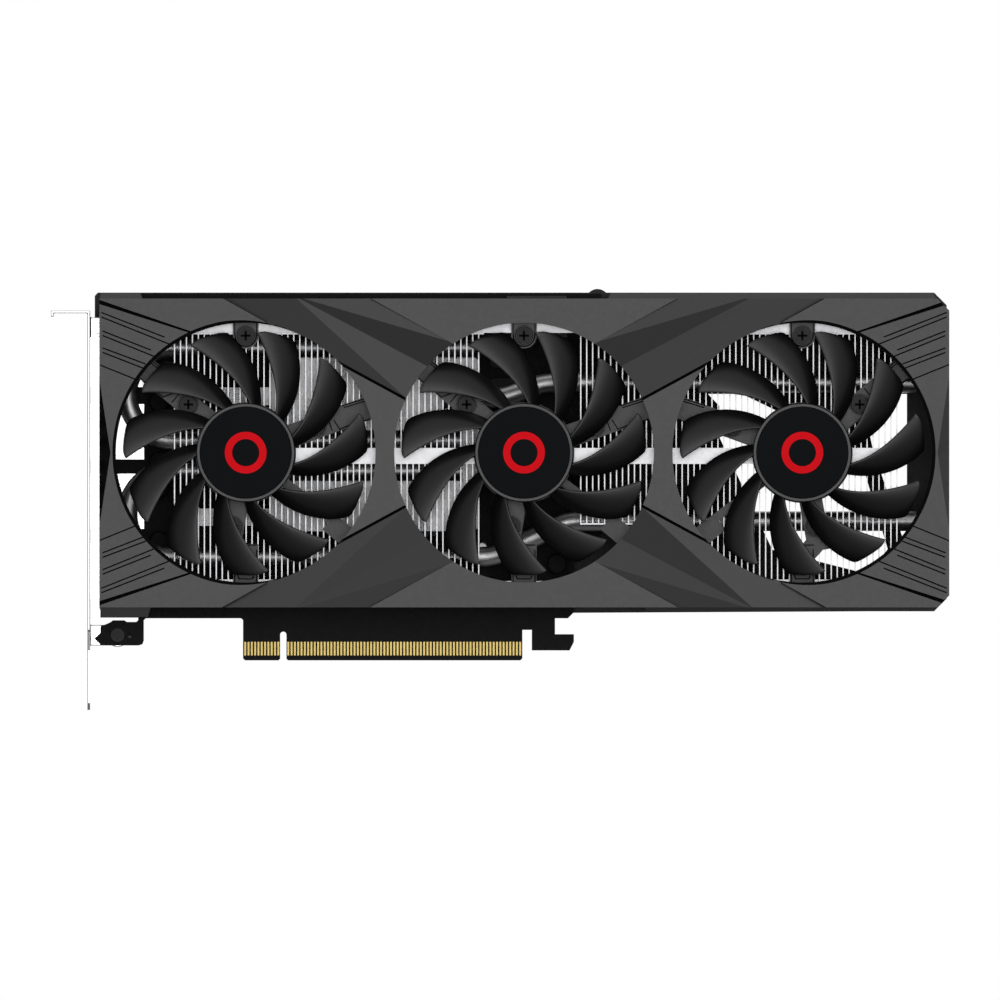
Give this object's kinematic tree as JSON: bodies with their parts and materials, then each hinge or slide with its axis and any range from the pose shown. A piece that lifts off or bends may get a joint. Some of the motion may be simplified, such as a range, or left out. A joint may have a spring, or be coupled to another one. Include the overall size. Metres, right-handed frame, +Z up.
{
  "type": "graphics card",
  "caption": "Two-slot graphics card with a faceted cover, spinning axial fans, finned heat-pipe cooler, backplate with windows, slot bracket and edge connector.",
  "frame": {"origin": "middle of the edge connector's key, on the connector's bottom edge, in the board's middle plane", "axes": "+X along the card away from the slot bracket, +Z up from the edge connector, fans facing -Y"},
  "size_m": [0.2712, 0.0408, 0.1271],
  "materials": {
    "cover_plastic": "satin, fine-grained moulded plastic",
    "fan_plastic": "satin moulded plastic",
    "cap_gloss": "gloss",
    "board_mask": "satin black solder mask",
    "contact_gold": "gold plating",
    "bracket_steel": "bright nickel plating",
    "socket_steel": "bright nickel plating",
    "fin_aluminium": "bright sheet",
    "pipe_nickel": "nickel plating",
    "plate_nickel": "nickel plating",
    "base_aluminium": "satin",
    "backplate_black": "fine-textured black paint",
    "chip_epoxy": "matt moulded epoxy",
    "die_silicon": "polished silicon",
    "pad_silicone": "matt soft silicone",
    "ferrite": "sintered ferrite",
    "can_aluminium": "satin",
    "socket_plastic": "satin-gloss",
    "pin_metal": "plated",
    "screw_black": "black zinc",
    "screw_nickel": "nickel plating",
    "magnet_ferrite": "sintered",
    "bearing_bronze": "oiled sintered bronze",
    "shaft_steel": "ground",
    "motor_copper": "enamelled copper windings on a laminated core"
  },
  "bodies": {
    "card": {"shroud": "cover_plastic", "backplate": "backplate_black", "pcb": "board_mask", "gold_contacts": "contact_gold", "bracket": "bracket_steel", "hdmi_socket": "socket_steel", "displayport_socket_1": "socket_steel", "displayport_socket_2": "socket_steel", "displayport_socket_3": "socket_steel", "bracket_screws": "screw_black", "fin_stack_left": "fin_aluminium", "fin_stack_right": "fin_aluminium", "cooler_bar": "fin_aluminium", "cooler_rails": "fin_aluminium", "heat_pipe_1": "pipe_nickel", "heat_pipe_2": "pipe_nickel", "heat_pipe_3": "pipe_nickel", "cold_plate": "plate_nickel", "cooler_base": "base_aluminium", "gpu_package": "chip_epoxy", "gpu_die": "die_silicon", "memory_chips": "chip_epoxy", "thermal_pads": "pad_silicone", "chokes": "ferrite", "mosfets": "chip_epoxy", "capacitors": "can_aluminium", "power_inlet": "socket_plastic", "power_pins": "pin_metal", "fan_headers": "socket_plastic", "cooler_screws": "screw_nickel", "fan_screws": "screw_black", "backplate_screws": "screw_black", "fan_1_bearing": "bearing_bronze", "fan_1_stator": "motor_copper", "fan_1_base": "cover_plastic", "fan_1_carrier": "cover_plastic", "fan_2_bearing": "bearing_bronze", "fan_2_stator": "motor_copper", "fan_2_base": "cover_plastic", "fan_2_carrier": "cover_plastic", "fan_3_bearing": "bearing_bronze", "fan_3_stator": "motor_copper", "fan_3_base": "cover_plastic", "fan_3_carrier": "cover_plastic"},
    "fan_1": {"fan_1_rotor": "fan_plastic", "fan_1_cap": "cap_gloss", "fan_1_shaft": "shaft_steel", "fan_1_magnet": "magnet_ferrite"},
    "fan_2": {"fan_2_rotor": "fan_plastic", "fan_2_cap": "cap_gloss", "fan_2_shaft": "shaft_steel", "fan_2_magnet": "magnet_ferrite"},
    "fan_3": {"fan_3_rotor": "fan_plastic", "fan_3_cap": "cap_gloss", "fan_3_shaft": "shaft_steel", "fan_3_magnet": "magnet_ferrite"}
  },
  "joints": [
    {"name": "fan_1_spin", "type": "hinge", "parent": "card", "child": "fan_1", "pos_m": [-0.01135, -0.031, 0.0627], "axis": [0, -1, 0], "continuous": true},
    {"name": "fan_2_spin", "type": "hinge", "parent": "card", "child": "fan_2", "pos_m": [0.07265, -0.031, 0.0627], "axis": [0, -1, 0], "continuous": true},
    {"name": "fan_3_spin", "type": "hinge", "parent": "card", "child": "fan_3", "pos_m": [0.15665, -0.031, 0.0627], "axis": [0, -1, 0], "continuous": true}
  ]
}
